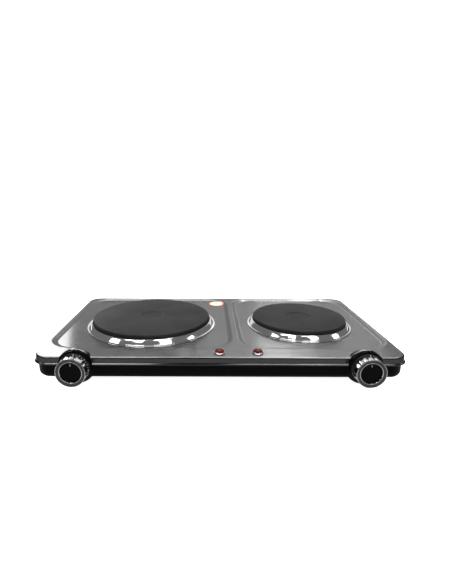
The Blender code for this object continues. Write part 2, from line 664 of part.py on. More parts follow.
def main():
    clear_scene()
    top_cover()
    base_tray()
    for size in PLATES:
        hot_plate(size)
    for side, x in (("left", -KNOB_X), ("right", KNOB_X)):
        bezel(side, x)
        knob(side, x)
        thermostat(side, x)
        pilot_light(side, LIGHT_XS[side])
    heat_shield()
    terminal_block()
    earth_terminal()
    cord_gland()
    for name, spot in FEET.items():
        foot(name, spot)
    for name, spot in SCREWS.items():
        housing_screw(name, spot)
    round_label()
    leads()


main()
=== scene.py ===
"""Looks of the double electric hot plate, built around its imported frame.

The script's own units are millimetres in the datum of the part's source: x to the right from the
middle of the body, y back from the front edge of the top, z up from the top's flat border.
place() turns such a point into the frame's metres.
"""
import json
import math

import bmesh
import bpy
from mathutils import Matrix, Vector
from mathutils.geometry import delaunay_2d_cdt

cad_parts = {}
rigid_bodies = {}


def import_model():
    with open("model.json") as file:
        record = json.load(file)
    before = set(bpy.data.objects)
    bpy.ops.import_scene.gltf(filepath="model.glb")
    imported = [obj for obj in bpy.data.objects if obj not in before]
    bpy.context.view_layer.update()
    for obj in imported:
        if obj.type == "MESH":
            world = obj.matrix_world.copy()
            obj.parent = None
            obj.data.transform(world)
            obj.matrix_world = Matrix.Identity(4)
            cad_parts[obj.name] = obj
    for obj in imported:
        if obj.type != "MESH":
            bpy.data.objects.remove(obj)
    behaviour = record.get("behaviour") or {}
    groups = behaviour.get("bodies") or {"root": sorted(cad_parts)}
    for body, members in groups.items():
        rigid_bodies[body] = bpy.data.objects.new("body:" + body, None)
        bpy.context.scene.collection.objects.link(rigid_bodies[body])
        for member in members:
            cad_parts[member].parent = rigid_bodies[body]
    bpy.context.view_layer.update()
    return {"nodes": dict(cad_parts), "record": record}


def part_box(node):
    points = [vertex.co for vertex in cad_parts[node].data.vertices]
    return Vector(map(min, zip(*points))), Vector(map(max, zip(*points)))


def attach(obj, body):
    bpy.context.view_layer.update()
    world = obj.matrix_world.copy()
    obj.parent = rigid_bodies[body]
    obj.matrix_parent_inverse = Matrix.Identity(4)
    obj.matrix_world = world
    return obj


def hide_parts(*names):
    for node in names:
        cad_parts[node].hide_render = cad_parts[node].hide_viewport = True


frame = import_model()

MM = 0.001
HOUSING = "housing"
SIDES = ("left", "right")
SIZES = ("large", "small")
CORNERS = [f"{end}_{side}" for end in ("front", "rear") for side in SIDES]

# ---- sizes shared with the frame
LIP = 2.0                      # how far the hemmed lip of the top stands out
TRAY_TOP = -1.5                # upper edge of the tray, below the top's border
SHEET = 0.8
CORNER = 20.0
PANEL_DROP = 2.5
PANEL_SLOPE = 8.0
PANEL_RADIUS = 38.0
PANEL_SIDE = 4.0
PANEL_FRONT = 28.5
PANEL_BACK = 267.5
RIDGE_X = 23.5
RIDGE_WIDTH = 6.0
TRAY_INSET = 2.4
TRAY_WALL = 2.0
TRAY_FILLET = 9.0
BODY_HEIGHT = 31.0
FLOOR = TRAY_WALL - BODY_HEIGHT
RIM_HEIGHT = 10.4
SHAFT_HOLE = 5.0
PLATE_GAP = 1.8                # from a plate's edge to the opening in the top
LIGHT_HOLE = 6.2
PIN_ACROSS = 13.0              # the two pins of a bezel: this far to each side of the knob's axis ...
PIN_HEIGHT = -20.0             # ... and at this height
PIN_RADIUS = 1.8

cover_low, cover_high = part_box("top_cover")
FRONT = cover_low.y + LIP * MM
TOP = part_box("base_tray")[1].z - TRAY_TOP * MM
HALF_WIDTH = cover_high.x / MM - LIP
DEPTH = (cover_high.y - cover_low.y) / MM - 2 * LIP


def place(x, y, z):
    """A point of the datum in the frame's metres."""
    return Vector((x * MM, FRONT + y * MM, TOP + z * MM))


def datum(point):
    """A point of the frame in the datum's millimetres."""
    return Vector((point.x, point.y - FRONT, point.z - TOP)) / MM


def measure(node):
    """Centre and half size of a CAD node, in the datum's millimetres."""
    low, high = (datum(corner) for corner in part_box(node))
    return (low + high) / 2, (high - low) / 2


PLATES = {}                    # x, y, radius, radius of the trim ring, top
for size in SIZES:
    middle, half = measure(size + "_hot_plate")
    ring_half = measure(size + "_trim_ring")[1]
    PLATES[size] = (middle.x, middle.y, half.x, ring_half.x, middle.z + half.z)

KNOBS = {side: measure(side + "_grip_ring")[0].x for side in SIDES}
middle, half = measure("right_grip_ring")
KNOB_Z = middle.z
GRIP_RADIUS = half.x
KNOB_FRONT = middle.y - half.y
GRIP_REAR = middle.y + half.y
BEZEL_RADIUS = measure("left_bezel")[1].x
BEZEL_FRONT = datum(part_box("left_bezel")[0]).y
ARCH_RADIUS = BEZEL_RADIUS + 0.4


def off_knobs(x):
    """Distance across from the nearer knob's axis."""
    return min(abs(x - knob_x) for knob_x in KNOBS.values())


# ---- mesh helpers
def build(name, bm, material, sharp=32.0, flat=False):
    """Weld the mesh, face it outwards, and link it as an object."""
    bmesh.ops.remove_doubles(bm, verts=bm.verts, dist=1e-6)
    bmesh.ops.dissolve_degenerate(bm, dist=1e-7, edges=bm.edges)
    bmesh.ops.recalc_face_normals(bm, faces=bm.faces)
    mesh = bpy.data.meshes.new(name)
    bm.to_mesh(mesh)
    bm.free()
    if not flat:
        mesh.shade_smooth()
        mesh.set_sharp_from_angle(angle=math.radians(sharp))
    mesh.materials.append(material)
    made = bpy.data.objects.new(name, mesh)
    bpy.context.scene.collection.objects.link(made)
    return made


def settle(made, sharp=32.0):
    """Apply the object's modifiers, remove the cutters they used, and shade the result."""
    tools = [step.object for step in made.modifiers if step.type == "BOOLEAN"]
    ready = made.evaluated_get(bpy.context.evaluated_depsgraph_get())
    mesh = bpy.data.meshes.new_from_object(ready)
    mesh.name = made.name
    made.modifiers.clear()
    made.data = mesh
    mesh.shade_smooth()
    mesh.set_sharp_from_angle(angle=math.radians(sharp))
    for tool in set(tools):
        bpy.data.objects.remove(tool, do_unlink=True)


def boolean(target, tool, operation="DIFFERENCE"):
    step = target.modifiers.new(operation.lower(), "BOOLEAN")
    step.operation = operation
    step.object = tool


def skin(bm, rows, along=False):
    """Join a run of equal closed rows with faces; along joins the last to the first as well."""
    made = [[bm.verts.new(point) for point in row] for row in rows]
    count = len(made[0])
    pairs = list(zip(made, made[1:]))
    if along:
        pairs.append((made[-1], made[0]))
    for near, far in pairs:
        for i in range(count):
            j = (i + 1) % count
            bm.faces.new((near[i], near[j], far[j], far[i]))
    if not along:
        bm.faces.new(list(reversed(made[0])))
        bm.faces.new(made[-1])


def eased(points, reach=0.5, steps=3, closed=False):
    """The outline with its corners rounded, each up to reach before and after the corner."""
    count = len(points)
    soft = []
    for i, point in enumerate(points):
        if not closed and i in (0, count - 1):
            soft.append(tuple(point))
            continue
        corner = Vector(point)
        back = Vector(points[i - 1]) - corner
        ahead = Vector(points[(i + 1) % count]) - corner
        start = corner + back.normalized() * min(reach, back.length * 0.45)
        end = corner + ahead.normalized() * min(reach, ahead.length * 0.45)
        for step in range(steps + 1):
            t = step / steps
            soft.append(tuple(start * (1 - t) ** 2 + corner * 2 * t * (1 - t) + end * t * t))
    return soft


def add_turned(bm, profile, centre, axis="Z", steps=128, closed=False, radius_at=None):
    """A turned shape. profile holds (radius, position along the axis) pairs."""
    rows = []
    for radius, along in profile:
        row = []
        for i in range(steps):
            angle = 2 * math.pi * i / steps
            r = radius_at(radius, along, angle) if radius_at else radius
            across, up = r * math.cos(angle), r * math.sin(angle)
            if axis == "Z":
                row.append(place(centre[0] + across, centre[1] + up, along))
            else:
                row.append(place(centre[0] + across, along, centre[1] + up))
        rows.append(row)
    skin(bm, rows, along=closed)


def turned(name, profile, centre, material, axis="Z", steps=128, closed=False, radius_at=None,
           sharp=32.0):
    """A piece of one turned shape."""
    bm = bmesh.new()
    add_turned(bm, profile, centre, axis, steps, closed, radius_at)
    return build(name, bm, material, sharp)


def box_tool(low, high, material):
    """A box to cut with."""
    (x0, y0, z0), (x1, y1, z1) = low, high
    corners = [(x0, y0), (x1, y0), (x1, y1), (x0, y1)]
    bm = bmesh.new()
    skin(bm, [[place(x, y, z) for x, y in corners] for z in (z0, z1)])
    return build("tool", bm, material)


def pins_tool(centres, radius, low, high, material, axis="Z", steps=32):
    """Round bars, to cut with or to join."""
    bm = bmesh.new()
    for centre in centres:
        add_turned(bm, [(radius, low), (radius, high)], centre, axis, steps)
    return build("tool", bm, material)


def finish_piece(piece, body, slot, *nodes):
    """Put a piece on its body and hide the CAD nodes it stands for. slot, its finish, is not used."""
    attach(piece, body)
    if nodes:
        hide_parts(*nodes)


# ---- materials
class Tree:
    """A node tree being put together."""

    def __init__(self, owner):
        owner.use_nodes = True
        self.nodes = owner.node_tree.nodes
        self.links = owner.node_tree.links

    def add(self, kind, **settings):
        node = self.nodes.new(kind)
        for key, value in settings.items():
            setattr(node, key, value)
        return node

    def spread(self, fac, low, high, start=0.3, end=0.7):
        """A varying number: fac between start and end gives low to high."""
        node = self.add("ShaderNodeMapRange", clamp=True)
        ranges = {"From Min": start, "From Max": end, "To Min": low, "To Max": high}
        for socket, number in ranges.items():
            node.inputs[socket].default_value = number
        self.links.new(fac, node.inputs["Value"])
        return node.outputs["Result"]

    def math(self, operation, *values):
        node = self.add("ShaderNodeMath", operation=operation)
        for socket, value in zip(node.inputs, values):
            if isinstance(value, (int, float)):
                socket.default_value = value
            else:
                self.links.new(value, socket)
        return node.outputs["Value"]


class Look(Tree):
    """A material: noise, ranges and bumps around one Principled shader."""

    def __init__(self, name, colour, roughness, metallic=0.0, **sockets):
        self.material = bpy.data.materials.new(name)
        super().__init__(self.material)
        self.material.diffuse_color = (*colour, 1.0)
        self.shader = self.nodes["Principled BSDF"]
        self.set("Base Color", (*colour, 1.0))
        self.set("Roughness", roughness)
        self.set("Metallic", metallic)
        for socket, value in sockets.items():
            self.set(socket.replace("_", " "), value)
        self.height = None

    def set(self, socket, value):
        self.shader.inputs[socket].default_value = value

    def position(self, stretch=(1, 1, 1)):
        coords = self.add("ShaderNodeTexCoord")
        scale = self.add("ShaderNodeMapping")
        scale.inputs["Scale"].default_value = stretch
        self.links.new(coords.outputs["Object"], scale.inputs["Vector"])
        return scale.outputs["Vector"]

    def noise(self, scale, detail, stretch=(1, 1, 1)):
        node = self.add("ShaderNodeTexNoise")
        node.inputs["Scale"].default_value = scale
        node.inputs["Detail"].default_value = detail
        self.links.new(self.position(stretch), node.inputs["Vector"])
        return node.outputs["Fac"]

    def cells(self, scale):
        node = self.add("ShaderNodeTexVoronoi")
        node.inputs["Scale"].default_value = scale
        self.links.new(self.position(), node.inputs["Vector"])
        return node.outputs["Distance"]

    def tint(self, fac, first, second, start=0.3, end=0.7):
        """Vary the colour between two tints."""
        ramp = self.add("ShaderNodeValToRGB")
        low, high = ramp.color_ramp.elements
        low.position, high.position = start, end
        low.color, high.color = (*first, 1.0), (*second, 1.0)
        self.links.new(fac, ramp.inputs["Fac"])
        self.vary("Base Color", ramp.outputs["Color"])
        return ramp

    def mixed(self, fac, first, second):
        """A colour between two colours, each a triple or another node's output."""
        node = self.add("ShaderNodeMix", data_type="RGBA")
        self.links.new(fac, node.inputs["Factor"])
        for socket, colour in (("A", first), ("B", second)):
            target = [i for i in node.inputs if i.name == socket and i.type == "RGBA"][0]
            if isinstance(colour, tuple):
                target.default_value = (*colour, 1.0)
            else:
                self.links.new(colour, target)
        return [o for o in node.outputs if o.type == "RGBA"][0]

    def vary(self, socket, value):
        self.links.new(value, self.shader.inputs[socket])

    def wear(self, scale, detail, low, high):
        """Roughness that varies between two values."""
        self.vary("Roughness", self.spread(self.noise(scale, detail), low, high))

    def bump(self, height, distance, strength):
        """Stack a bump of that real height in millimetres on the ones before it."""
        node = self.add("ShaderNodeBump")
        node.inputs["Strength"].default_value = strength
        node.inputs["Distance"].default_value = distance * MM
        self.links.new(height, node.inputs["Height"])
        if self.height:
            self.links.new(self.height, node.inputs["Normal"])
        self.height = node.outputs["Normal"]
        self.vary("Normal", self.height)

    def distance_to(self, point):
        """Distance in metres from a point of the frame, for rings round it."""
        coords = self.add("ShaderNodeTexCoord")
        node = self.add("ShaderNodeVectorMath", operation="DISTANCE")
        self.links.new(coords.outputs["Object"], node.inputs[0])
        node.inputs[1].default_value = point
        return node.outputs["Value"]


def brushed_steel():
    """Brushed along x, with painted shade: near-black base colour on the bent rim and other steep faces.
    """
    look = Look("brushed_steel", (0.21, 0.21, 0.21), 0.2, 1.0, Anisotropic=1.0,
                Anisotropic_Rotation=0.25, Specular_Tint=(0.45, 0.45, 0.45, 1.0))
    fine = look.noise(1.0, 2.0, (25, 2600, 2600))
    broad = look.noise(1.0, 3.0, (9, 520, 520))
    smudge = look.noise(14.0, 4.0)
    streaks = look.math("ADD", look.spread(fine, 0.17, 0.23), look.spread(broad, -0.01, 0.01))
    look.vary("Roughness", look.math("ADD", streaks, look.spread(smudge, -0.01, 0.02)))
    grain = look.mixed(broad, (0.19, 0.19, 0.192), (0.228, 0.228, 0.225))
    # painted shade: faces turned away from straight up, such as the bent rim and the panel slopes, get a
    # near-black base colour instead of the grain
    facing = look.add("ShaderNodeSeparateXYZ")
    look.links.new(look.add("ShaderNodeNewGeometry").outputs["True Normal"], facing.inputs["Vector"])
    top = look.spread(facing.outputs["Z"], 0.0, 1.0, 0.62, 0.97)
    look.vary("Base Color", look.mixed(top, (0.02, 0.02, 0.0205), grain))
    look.bump(fine, 0.01, 0.5)
    tangent = look.add("ShaderNodeTangent", direction_type="UV_MAP", uv_map="flat")
    look.vary("Tangent", tangent.outputs["Tangent"])
    return look.material


def chrome():
    look = Look("chrome", (0.6, 0.6, 0.61), 0.07, 1.0)
    look.wear(60.0, 4.0, 0.04, 0.12)
    look.bump(look.noise(70.0, 2.0), 0.3, 0.7)
    return look.material


def knob_chrome(name, shade):
    look = Look(name, (shade, shade, shade), 0.14, 1.0)
    look.wear(300.0, 3.0, 0.09, 0.2)
    return look.material


GROOVE_PITCH = 0.9             # of the turned grooves in the plates


def cast_iron(size):
    """Black iron with fine turned grooves round the plate's middle."""
    x, y, _, _, top = PLATES[size]
    look = Look(size + "_cast_iron", (0.012, 0.012, 0.012), 0.55, IOR=1.16)
    away = look.distance_to(place(x, y, top))
    grooves = look.math("SINE", look.math("MULTIPLY", away, 2 * math.pi / (GROOVE_PITCH * MM)))
    grain = look.noise(900.0, 4.0)
    heat = look.noise(22.0, 4.0)
    look.tint(heat, (0.009, 0.009, 0.009), (0.018, 0.0175, 0.017))
    look.vary("Roughness", look.spread(grain, 0.5, 0.68))
    look.bump(grooves, 0.03, 0.6)
    look.bump(grain, 0.06, 0.5)
    return look.material


def black_enamel():
    look = Look("black_enamel", (0.0012, 0.0012, 0.0012), 0.3, IOR=1.06)
    look.wear(90.0, 5.0, 0.26, 0.42)
    look.bump(look.noise(700.0, 2.0), 0.03, 0.4)
    return look.material


def black_plastic():
    look = Look("black_plastic", (0.0014, 0.0014, 0.0014), 0.24, IOR=1.06)
    look.wear(160.0, 4.0, 0.18, 0.32)
    look.bump(look.noise(1200.0, 2.0), 0.012, 0.4)
    return look.material


def dial_grey():
    look = Look("dial_grey", (0.005, 0.005, 0.0053), 0.38, IOR=1.15)
    look.wear(400.0, 3.0, 0.32, 0.48)
    look.bump(look.noise(1800.0, 2.0), 0.02, 0.5)
    return look.material


def printed_marks(name, shade):
    look = Look(name, (shade, shade, shade * 0.98), 0.5)
    look.wear(800.0, 2.0, 0.42, 0.6)
    return look.material


def red_lens():
    look = Look("red_lens", (0.1, 0.005, 0.003), 0.16, IOR=1.2)
    look.tint(look.noise(420.0, 2.0), (0.025, 0.001, 0.001), (0.13, 0.007, 0.0045), 0.42, 0.6)
    return look.material


def rubber():
    look = Look("foot_rubber", (0.016, 0.016, 0.016), 0.8)
    look.wear(500.0, 3.0, 0.7, 0.92)
    look.bump(look.noise(1500.0, 3.0), 0.05, 0.5)
    return look.material


def ceramic():
    look = Look("ceramic", (0.78, 0.75, 0.68), 0.65)
    look.tint(look.noise(260.0, 5.0), (0.68, 0.64, 0.56), (0.82, 0.80, 0.74))
    look.bump(look.noise(1400.0, 4.0), 0.06, 0.5)
    return look.material


def zinc_steel():
    look = Look("zinc_steel", (0.58, 0.58, 0.55), 0.4, 1.0)
    look.tint(look.cells(180.0), (0.50, 0.50, 0.46), (0.64, 0.64, 0.60), 0.1, 0.6)
    look.wear(220.0, 4.0, 0.32, 0.52)
    return look.material


def brass():
    look = Look("brass", (0.72, 0.54, 0.26), 0.3, 1.0)
    look.tint(look.noise(120.0, 4.0), (0.58, 0.42, 0.20), (0.76, 0.58, 0.28))
    look.wear(700.0, 3.0, 0.24, 0.42)
    return look.material


def lead_insulation():
    look = Look("lead_insulation", (0.72, 0.69, 0.62), 0.55)
    look.tint(look.noise(90.0, 3.0), (0.64, 0.61, 0.54), (0.76, 0.73, 0.67))
    look.bump(look.cells(1500.0), 0.05, 0.4)
    return look.material


LABEL_CENTRE = (0.5, 242.0)
LABEL_RADIUS = 13.6


def label_print():
    """Plain print on cream: a red edge, one thin ring and a round spot in the middle."""
    look = Look("label", (0.85, 0.8, 0.62), 0.4)
    away = look.distance_to(place(*LABEL_CENTRE, -PANEL_DROP))
    share = look.math("DIVIDE", away, LABEL_RADIUS * MM)
    ramp = look.tint(share, (1, 1, 1), (1, 1, 1), 0.0, 1.0)
    ramp.color_ramp.interpolation = "CONSTANT"
    rings = ((0.0, (0.74, 0.28, 0.17)), (0.22, (0.86, 0.66, 0.48)), (0.52, (0.74, 0.30, 0.18)),
             (0.58, (0.86, 0.66, 0.48)), (0.83, (0.75, 0.08, 0.05)))
    elements = ramp.color_ramp.elements
    elements[0].position, elements[0].color = rings[0][0], (*rings[0][1], 1.0)
    elements[1].position, elements[1].color = rings[-1][0], (*rings[-1][1], 1.0)
    for position, colour in rings[1:-1]:
        elements.new(position).color = (*colour, 1.0)
    look.wear(300.0, 3.0, 0.34, 0.5)
    return look.material


def studio_floor():
    """Pale, with a glow that fills in the shadows."""
    look = Look("studio_floor", (0.93, 0.93, 0.93), 0.9, Emission_Color=(1, 1, 1, 1),
                Emission_Strength=0.96)
    look.tint(look.noise(3.0, 2.0), (0.925, 0.925, 0.925), (0.94, 0.94, 0.94))
    return look.material


LOOKS = {
    "stainless_top": brushed_steel(), "black_tray": black_enamel(), "chrome_trim": chrome(),
    "ceramic": ceramic(), "zinc_steel": zinc_steel(), "black_plastic": black_plastic(),
    "dial_grey": dial_grey(), "brass": brass(), "red_lens": red_lens(), "foot_rubber": rubber(),
    "lead_insulation": lead_insulation(), "label": label_print(), "cast_iron_plate": cast_iron("large"),
}
PLATE_LOOKS = {"large": LOOKS["cast_iron_plate"], "small": cast_iron("small")}
GRIP_CHROME = knob_chrome("grip_chrome", 0.45)
# painted shade: a darker copy of the knob chrome for the two beads, so their reflections come out dim
BEAD_CHROME_PAINTED_SHADE = knob_chrome("bead_chrome", 0.13)
# painted shade: a near-black copy of the knob chrome for the band between the beads
BAND_CHROME_PAINTED_SHADE = knob_chrome("band_chrome", 0.018)
MARKS = printed_marks("printed_marks", 0.28)
POINTER = printed_marks("pointer_print", 0.09)


# ---- the pressed top
PANELS = [(-(HALF_WIDTH - PANEL_SIDE), RIDGE_X - RIDGE_WIDTH / 2),
          (RIDGE_X + RIDGE_WIDTH / 2, HALF_WIDTH - PANEL_SIDE)]
HUMP_FALL = 14.0               # the hump over a bezel loses this much radius ...
HUMP_LENGTH = 24.0             # ... over this depth
HUMP_BLEND = 2.0
BEND = 2.0                     # bend radius along the edge of the top
CROWN_FALL = 0.3
CROWN_WIDTH = 7.0
RIM_STATIONS = 26
BENT = [(math.sin(math.radians(a)) * BEND - BEND, math.cos(math.radians(a)) * BEND - BEND)
        for a in range(0, 91, 15)]
HEMMED = [(0.25, -7.4), (1.5, -8.6), (LIP, -9.2), (LIP, -9.9), (1.5, -RIM_HEIGHT), (0.6, -RIM_HEIGHT)]
RIM = eased(BENT + HEMMED, 0.5)


def inset_in(x, y, x0, x1, y0, y1, radius):
    """How far a point lies inside a rectangle with rounded corners; negative outside it."""
    across = abs(x - (x0 + x1) / 2) - (x1 - x0) / 2 + radius
    along = abs(y - (y0 + y1) / 2) - (y1 - y0) / 2 + radius
    return radius - math.hypot(max(across, 0), max(along, 0)) - min(max(across, along), 0)


def pressed_step(t, bend=0.2):
    """Share of a panel's drop at that share of its slope's width: a straight slope between two bends."""
    t = min(t, 1.0)
    steep = 1 / (1 - bend)
    if t < bend:
        return steep * t * t / (2 * bend)
    if t > 1 - bend:
        return 1 - steep * (1 - t) ** 2 / (2 * bend)
    return steep * (t - bend / 2)


def panel_height(x, y):
    """The drop of the two recessed panels."""
    for x0, x1 in PANELS:
        inside = inset_in(x, y, x0, x1, PANEL_FRONT, PANEL_BACK, PANEL_RADIUS)
        if inside > 0:
            return -PANEL_DROP * pressed_step(inside / PANEL_SLOPE)
    return 0.0


def hump_height(x, y):
    """The rise that carries the sheet over a knob bezel, blended into the border."""
    across = off_knobs(x)
    radius = ARCH_RADIUS + SHEET - HUMP_FALL * (y / HUMP_LENGTH) ** 2
    if across >= radius or y > HUMP_LENGTH:
        return 0.0
    rise = KNOB_Z + math.sqrt(radius ** 2 - across ** 2)
    if rise >= HUMP_BLEND:
        return rise
    return (rise + HUMP_BLEND) ** 2 / (4 * HUMP_BLEND) if rise > -HUMP_BLEND else 0.0


def crown(x, y):
    """The border falls slightly towards the edge of the top."""
    inside = inset_in(x, y, -HALF_WIDTH, HALF_WIDTH, 0, DEPTH, CORNER)
    return -CROWN_FALL * (1 - min(max(inside, BEND), CROWN_WIDTH) / CROWN_WIDTH) ** 2


def sheet_height(x, y):
    return panel_height(x, y) + hump_height(x, max(y, 0.0)) + crown(x, y)


def knob_columns():
    """Distances across from a knob's axis, closer together where the bezel's circle is steep."""
    steps = 64
    beyond = (22.5, 23.3, 24.5, 26.5)
    circle = [ARCH_RADIUS * math.cos(math.pi * i / steps) for i in range(steps + 1)]
    return sorted([-d for d in beyond] + circle + list(beyond))


def outline_points():
    """The body's outline from above: (x, y, outward x, outward y), anticlockwise from the front left."""
    straight = HALF_WIDTH - CORNER
    fronts = {-straight, straight, 0.0}
    for knob_x in KNOBS.values():
        fronts.update(knob_x + across for across in knob_columns())
    fronts.update(18.0 * i for i in range(-8, 9))
    points = [(x, 0.0, 0.0, -1.0) for x in sorted(fronts)]
    corner_steps = 14
    for sign_x, centre_y, start in ((1, CORNER, -90), (1, DEPTH - CORNER, 0),
                                    (-1, DEPTH - CORNER, 90), (-1, CORNER, 180)):
        for i in range(corner_steps + 1):
            if start == -90 and i == 0 or start == 180 and i == corner_steps:
                continue
            angle = math.radians(start + 90 * i / corner_steps)
            nx, ny = math.cos(angle), math.sin(angle)
            points.append((sign_x * straight + CORNER * nx, centre_y + CORNER * ny, nx, ny))
    return points


def along_path(path, distance):
    """The point at that distance along a path of (offset, z) points."""
    for (a, b), (c, d) in zip(path, path[1:]):
        step = math.hypot(c - a, d - b)
        if distance <= step:
            t = distance / step if step else 0.0
            return a + (c - a) * t, b + (d - b) * t
        distance -= step
    return path[-1]


RIM_LENGTH = sum(math.dist(a, b) for a, b in zip(RIM, RIM[1:]))


def rim_end(x, y):
    """How far down the rim the sheet goes at this column: to its hem, or to the bezel's circle."""
    across = off_knobs(x)
    if y > 0.0 or across >= ARCH_RADIUS:
        return RIM_LENGTH
    stop = KNOB_Z + math.sqrt(ARCH_RADIUS ** 2 - across ** 2) - hump_height(x, 0.0)
    low, high = 0.0, RIM_LENGTH
    for _ in range(24):
        half_way = (low + high) / 2
        if along_path(RIM, half_way)[1] > stop:
            low = half_way
        else:
            high = half_way
    return high


def rounded_loop(x0, x1, y0, y1, radius, steps):
    """A rectangle with rounded corners."""
    points = []
    for cx, cy, start in ((x1 - radius, y0 + radius, -90), (x1 - radius, y1 - radius, 0),
                          (x0 + radius, y1 - radius, 90), (x0 + radius, y0 + radius, 180)):
        for i in range(steps + 1):
            angle = math.radians(start + 90 * i / steps)
            points.append((cx + radius * math.cos(angle), cy + radius * math.sin(angle)))
    return points


def circle(x, y, radius, steps):
    turns = [2 * math.pi * i / steps for i in range(steps)]
    return [(x + radius * math.cos(turn), y + radius * math.sin(turn)) for turn in turns]


def openings():
    """The round holes in the top: x, y, radius and the number of points round it."""
    holes = [(x, y, radius + PLATE_GAP, 96) for x, y, radius, _, _ in PLATES.values()]
    for side in SIDES:
        light = measure(side + "_light_bezel")[0]
        holes.append((light.x, light.y, LIGHT_HOLE, 32))
    return holes


def sheet_loops():
    """Loops that the flat pattern of the top keeps as edges: panel steps and openings."""
    loops = []
    insets = [-0.6] + [PANEL_SLOPE * i / 10 for i in range(11)] + [PANEL_SLOPE + 0.6]
    for x0, x1 in PANELS:
        for inset in insets:
            loops.append(rounded_loop(x0 + inset, x1 - inset, PANEL_FRONT + inset, PANEL_BACK - inset,
                                      PANEL_RADIUS - inset, 14))
    return loops + [circle(*hole) for hole in openings()]


def top_sheet():
    """One sheet: a flat pattern meshed inside the bend, lifted to its heights, with the rim below it."""
    outline = outline_points()
    border = [(x - nx * BEND, y - ny * BEND) for x, y, nx, ny in outline]
    loops = [border] + sheet_loops()
    points, edges = [], []
    for loop in loops:
        first = len(points)
        points += [Vector(point) for point in loop]
        edges += [(first + i, first + (i + 1) % len(loop)) for i in range(len(loop))]
    for x, y, nx, ny in outline:
        if off_knobs(x) > 26 or y > 0:
            points += [Vector((x - nx * inside, y - ny * inside)) for inside in (3.5, 5.2, CROWN_WIDTH)]
    for knob_x in KNOBS.values():
        for across in knob_columns():
            if abs(across) > ARCH_RADIUS + 3:
                continue
            for row in range(1, 21):
                points.append(Vector((knob_x + across, BEND + row * 1.15)))
    found = delaunay_2d_cdt(points, edges, [], 1, 1e-5)
    flat, triangles = found[0], found[2]
    holes = openings()

    bm = bmesh.new()
    uv = bm.loops.layers.uv.new("flat")
    patterns = {}
    verts = []
    for point in flat:
        vert = bm.verts.new(place(point.x, point.y, sheet_height(point.x, point.y)))
        patterns[vert] = (point.x * MM, point.y * MM)
        verts.append(vert)
    for triangle in triangles:
        cx = sum(flat[i].x for i in triangle) / 3
        cy = sum(flat[i].y for i in triangle) / 3
        if all(math.hypot(cx - x, cy - y) > radius for x, y, radius, _ in holes):
            bm.faces.new([verts[i] for i in triangle])
    columns = []
    for x, y, nx, ny in outline:
        end = rim_end(x, y)
        column = []
        for station in range(RIM_STATIONS + 1):
            run = end * station / RIM_STATIONS
            offset, drop = along_path(RIM, run)
            px, py = x + nx * offset, y + ny * offset
            vert = bm.verts.new(place(px, py, drop + hump_height(px, max(py, 0.0)) + crown(x, y)))
            patterns[vert] = ((x + nx * (run - BEND)) * MM, (y + ny * (run - BEND)) * MM)
            column.append(vert)
        columns.append(column)
    for near, far in zip(columns, columns[1:] + columns[:1]):
        for k in range(RIM_STATIONS):
            bm.faces.new((near[k], near[k + 1], far[k + 1], far[k]))
    for face in bm.faces:
        for loop in face.loops:
            loop[uv].uv = patterns[loop.vert]
    loose = [vert for vert in bm.verts if not vert.link_faces]
    bmesh.ops.delete(bm, geom=loose, context="VERTS")
    sheet = build("pressed_top", bm, LOOKS["stainless_top"], 40.0)
    thick = sheet.modifiers.new("sheet", "SOLIDIFY")
    thick.thickness = SHEET * MM
    thick.offset = -1.0
    thick.use_even_offset = True
    settle(sheet, 40.0)
    finish_piece(sheet, HOUSING, "stainless_top", "top_cover")


# ---- tray
SLOTS = 4                      # the cooling slots under each plate
SLOT_PITCH = 18.0
SLOT_HALF = 2.5
PAD_RADIUS = 24.9              # the thicker patch of the tray behind a bezel
SCREW_BORE = 2.2


def body_rows(steps):
    """The body's outline at each step's offset and height."""
    rows = []
    for offset, z in steps:
        half = HALF_WIDTH + offset
        loop = rounded_loop(-half, half, -offset, DEPTH + offset, CORNER + offset, 12)
        rows.append([place(x, y, z) for x, y in loop])
    return rows


def tray_steps(wall, floor, fillet, top):
    """Steps down a tray's side and round its bottom edge."""
    steps = [(-TRAY_INSET - wall, top)]
    for i in range(11):
        angle = math.radians(9 * i)
        steps.append((-TRAY_INSET - wall - fillet * (1 - math.cos(angle)),
                      floor + fillet * (1 - math.sin(angle))))
    return steps


